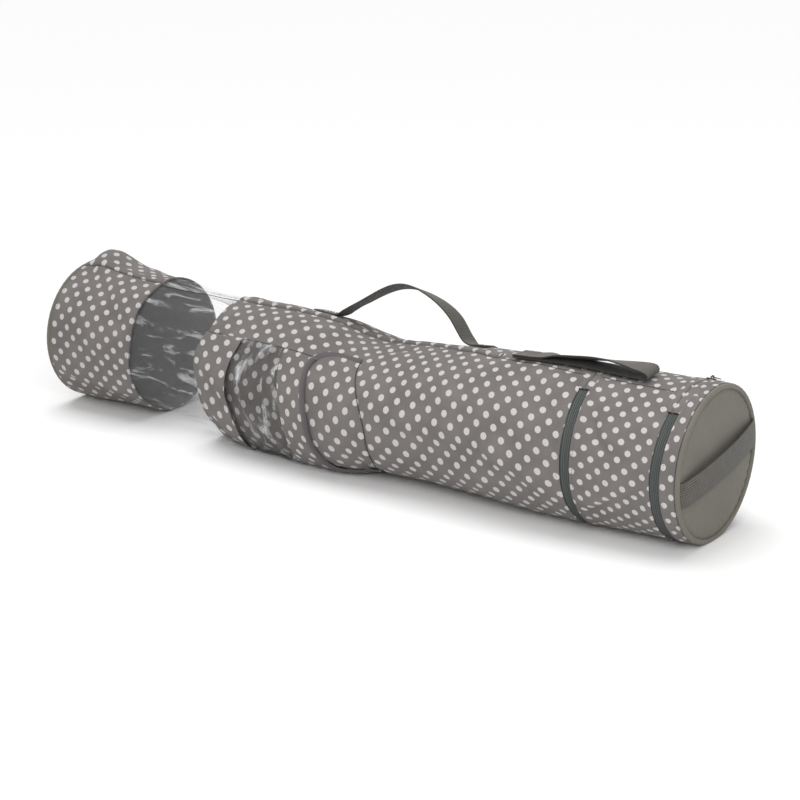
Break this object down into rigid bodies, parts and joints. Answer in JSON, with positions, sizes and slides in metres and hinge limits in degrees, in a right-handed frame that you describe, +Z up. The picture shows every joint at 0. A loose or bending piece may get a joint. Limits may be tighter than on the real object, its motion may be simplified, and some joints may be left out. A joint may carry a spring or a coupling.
{
  "type": "gift wrap organizer",
  "caption": "Soft tube bag for gift wrap rolls with a clear window, front pocket, zipped supplies section, zipped end lid, carry handle and hanging loop.",
  "frame": {"origin": "centre of the whole bag's outline on the floor, with the tube lying on its side", "axes": "+X along the tube towards the zipped lid, +Z up, -Y towards the side with the pocket"},
  "size_m": [0.8598, 0.1956, 0.203],
  "materials": {
    "dotted_fabric": "woven polyester with a plain dot pattern",
    "plain_fabric": "plain woven polyester",
    "clear_film": "clear flexible vinyl",
    "webbing": "woven strap",
    "zip_tape": "knitted zip tape",
    "zip_coil": "nylon coil",
    "binding": "bias binding",
    "stiffener": "stiff sheet inside the ends",
    "slider_metal": "dark plated"
  },
  "bodies": {
    "bag": {"far_cover": "plain_fabric", "far_board": "stiffener", "far_piping": "plain_fabric", "far_sleeve": "dotted_fabric", "clear_window": "clear_film", "body_sleeve": "dotted_fabric", "far_seam": "dotted_fabric", "window_seam": "clear_film", "body_seam": "dotted_fabric", "pocket_end_strip": "dotted_fabric", "pocket_window": "clear_film", "pocket_mouth_strip": "dotted_fabric", "pocket_binding": "binding", "zip_1_tape_body": "zip_tape", "zip_1_coil_body": "zip_coil", "handle_foot_far": "webbing", "handle_foot_near": "webbing", "handle_leg_far": "webbing", "handle_leg_near": "webbing", "loop_anchor": "webbing"},
    "supplies": {"supplies_sleeve": "dotted_fabric", "divider": "plain_fabric", "zip_1_tape_supplies": "zip_tape", "zip_1_coil_supplies": "zip_coil", "zip_2_tape_supplies": "zip_tape", "zip_2_coil_supplies": "zip_coil"},
    "lid": {"lid_sleeve": "dotted_fabric", "lid_cover": "plain_fabric", "lid_board": "stiffener", "lid_piping": "plain_fabric", "grab_strap": "webbing", "zip_2_tape_lid": "zip_tape", "zip_2_coil_lid": "zip_coil"},
    "slider_1": {"zip_1_slider": "slider_metal"},
    "pull_1": {"zip_1_pull": "slider_metal"},
    "slider_2": {"zip_2_slider": "slider_metal"},
    "pull_2": {"zip_2_pull": "slider_metal"},
    "handle": {"carry_handle": "webbing"},
    "loop": {"hanging_loop": "webbing"}
  },
  "joints": [
    {"name": "supplies_open", "type": "hinge", "parent": "bag", "child": "supplies", "pos_m": [0.2946, -0.01811, 0.16351], "axis": [0, -0.9914, -0.1305], "range_deg": [0, 100]},
    {"name": "lid_open", "type": "hinge", "parent": "supplies", "child": "lid", "pos_m": [0.3946, -0.01308, 0.16241], "axis": [0, -0.9808, -0.1951], "range_deg": [0, 100]},
    {"name": "slider_1_travel", "type": "hinge", "parent": "bag", "child": "slider_1", "pos_m": [0.2946, -0.00726, 0.0811], "axis": [1, 0, 0], "range_deg": [-300, 0]},
    {"name": "slider_2_travel", "type": "hinge", "parent": "supplies", "child": "slider_2", "pos_m": [0.3946, 0.00311, 0.081], "axis": [1, 0, 0], "range_deg": [-300, 0]},
    {"name": "pull_1_flip", "type": "hinge", "parent": "slider_1", "child": "pull_1", "pos_m": [0.2946, 0.02342, 0.16102], "axis": [1, 0, 0], "range_deg": [0, 150]},
    {"name": "pull_2_flip", "type": "hinge", "parent": "slider_2", "child": "pull_2", "pos_m": [0.3946, 0.03379, 0.16091], "axis": [1, 0, 0], "range_deg": [0, 150]},
    {"name": "handle_swing", "type": "hinge", "parent": "bag", "child": "handle", "pos_m": [0.0171, 0.0301, 0.15], "axis": [1, 0, 0], "range_deg": [-78, 48], "deforming": ["handle_leg_far", "handle_leg_near"]},
    {"name": "loop_lift", "type": "hinge", "parent": "bag", "child": "loop", "pos_m": [0.2254, -0.0139, 0.16551], "axis": [0, -1, 0], "range_deg": [0, 100]}
  ],
  "couplings": [
    {"joint": "slider_1_travel", "follows": "supplies_open", "ratio": -3},
    {"joint": "loop_lift", "follows": "supplies_open", "ratio": 1},
    {"joint": "slider_2_travel", "follows": "lid_open", "ratio": -3}
  ]
}
